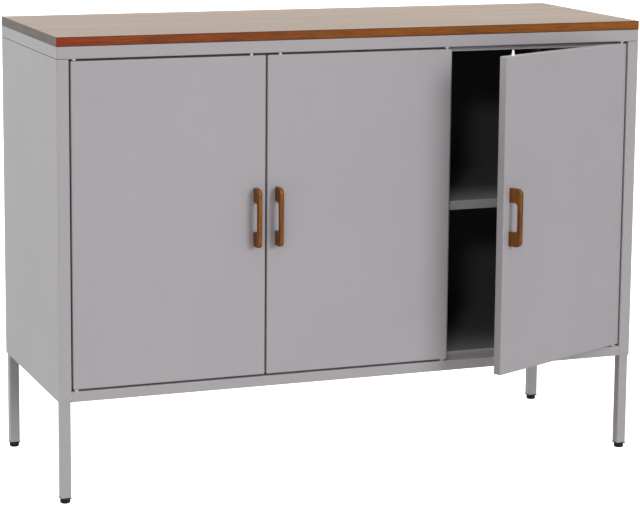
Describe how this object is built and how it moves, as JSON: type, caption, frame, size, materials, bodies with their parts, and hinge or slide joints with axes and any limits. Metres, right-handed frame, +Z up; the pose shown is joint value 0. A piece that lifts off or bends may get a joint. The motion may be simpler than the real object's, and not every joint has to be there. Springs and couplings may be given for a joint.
{
  "type": "sideboard",
  "caption": "Sheet-steel sideboard on square legs with a wooden top board, hinged doors, an open right door, inner shelves and bow handles.",
  "frame": {"origin": "on the floor under the middle of the whole box, with the right door standing open as at rest", "axes": "+X along the sideboard to its right end, +Y from the doors to the back, +Z up"},
  "size_m": [1.1, 0.5628, 0.81],
  "materials": {
    "grey_paint": "fine matt powder coat, warm light grey",
    "board_wood": "stained open grain under a satin lacquer, darker on the edges",
    "handle_wood": "brown stain under a satin lacquer",
    "black_plastic": "moulded, slightly glossy",
    "nylon": "natural white nylon",
    "steel": "zinc plated"
  },
  "bodies": {
    "root": {"wood_top": "board_wood", "top_rim": "grey_paint", "top_panel": "grey_paint", "left_side_panel": "grey_paint", "right_side_panel": "grey_paint", "bottom_panel": "grey_paint", "back_panel_left": "grey_paint", "back_panel_right": "grey_paint", "partition": "grey_paint", "shelf_left": "grey_paint", "shelf_right": "grey_paint", "shelf_rail_left_side": "grey_paint", "shelf_rail_partition_left": "grey_paint", "shelf_rail_partition_right": "grey_paint", "shelf_rail_right_side": "grey_paint", "left_hinge_bush_upper": "nylon", "left_hinge_bush_lower": "nylon", "middle_hinge_bush_upper": "nylon", "middle_hinge_bush_lower": "nylon", "right_hinge_bush_upper": "nylon", "right_hinge_bush_lower": "nylon", "leg_front_left": "grey_paint", "leg_plug_front_left": "black_plastic", "leg_front_right": "grey_paint", "leg_plug_front_right": "black_plastic", "leg_back_left": "grey_paint", "leg_plug_back_left": "black_plastic", "leg_back_right": "grey_paint", "leg_plug_back_right": "black_plastic"},
    "left_door_leaf": {"left_door": "grey_paint", "left_door_liner": "grey_paint", "left_handle": "handle_wood", "left_handle_screw_lower": "steel", "left_handle_screw_upper": "steel", "left_hinge_pin_upper": "steel", "left_hinge_pin_lower": "steel", "left_catch_guide": "nylon"},
    "left_catch": {"left_catch_plunger": "nylon"},
    "middle_door_leaf": {"middle_door": "grey_paint", "middle_door_liner": "grey_paint", "middle_handle": "handle_wood", "middle_handle_screw_lower": "steel", "middle_handle_screw_upper": "steel", "middle_hinge_pin_upper": "steel", "middle_hinge_pin_lower": "steel", "middle_catch_guide": "nylon"},
    "middle_catch": {"middle_catch_plunger": "nylon"},
    "right_door_leaf": {"right_door": "grey_paint", "right_door_liner": "grey_paint", "right_handle": "handle_wood", "right_handle_screw_lower": "steel", "right_handle_screw_upper": "steel", "right_hinge_pin_upper": "steel", "right_hinge_pin_lower": "steel", "right_catch_guide": "nylon"},
    "right_catch": {"right_catch_plunger": "nylon"},
    "glide_front_left": {"leg_glide_front_left": "black_plastic"},
    "glide_front_right": {"leg_glide_front_right": "black_plastic"},
    "glide_back_left": {"leg_glide_back_left": "black_plastic"},
    "glide_back_right": {"leg_glide_back_right": "black_plastic"}
  },
  "joints": [
    {"name": "left_door_hinge", "type": "hinge", "parent": "root", "child": "left_door_leaf", "pos_m": [-0.5185, -0.11157, 0.4852], "axis": [0, 0, -1], "range_deg": [0, 105]},
    {"name": "left_catch_slide", "type": "slide", "parent": "left_door_leaf", "child": "left_catch", "axis": [0, 0, -1], "range_m": [0, 0.0085], "stiffness_N_per_m": 300, "springref_m": -0.004},
    {"name": "middle_door_hinge", "type": "hinge", "parent": "root", "child": "middle_door_leaf", "pos_m": [0.16717, -0.11157, 0.4852], "axis": [0, 0, 1], "range_deg": [0, 90]},
    {"name": "middle_catch_slide", "type": "slide", "parent": "middle_door_leaf", "child": "middle_catch", "axis": [0, 0, -1], "range_m": [0, 0.0085], "stiffness_N_per_m": 300, "springref_m": -0.004},
    {"name": "right_door_hinge", "type": "hinge", "parent": "root", "child": "right_door_leaf", "pos_m": [0.5185, -0.11157, 0.4852], "axis": [0, 0, 1], "range_deg": [-25.5, 75]},
    {"name": "right_catch_slide", "type": "slide", "parent": "right_door_leaf", "child": "right_catch", "axis": [0, 0, -1], "range_m": [0, 0.0085], "stiffness_N_per_m": 300, "springref_m": -0.004},
    {"name": "glide_front_left_screw", "type": "slide", "parent": "root", "child": "glide_front_left", "axis": [0, 0, -1], "range_m": [0, 0.01]},
    {"name": "glide_front_right_screw", "type": "slide", "parent": "root", "child": "glide_front_right", "axis": [0, 0, -1], "range_m": [0, 0.01]},
    {"name": "glide_back_left_screw", "type": "slide", "parent": "root", "child": "glide_back_left", "axis": [0, 0, -1], "range_m": [0, 0.01]},
    {"name": "glide_back_right_screw", "type": "slide", "parent": "root", "child": "glide_back_right", "axis": [0, 0, -1], "range_m": [0, 0.01]}
  ]
}
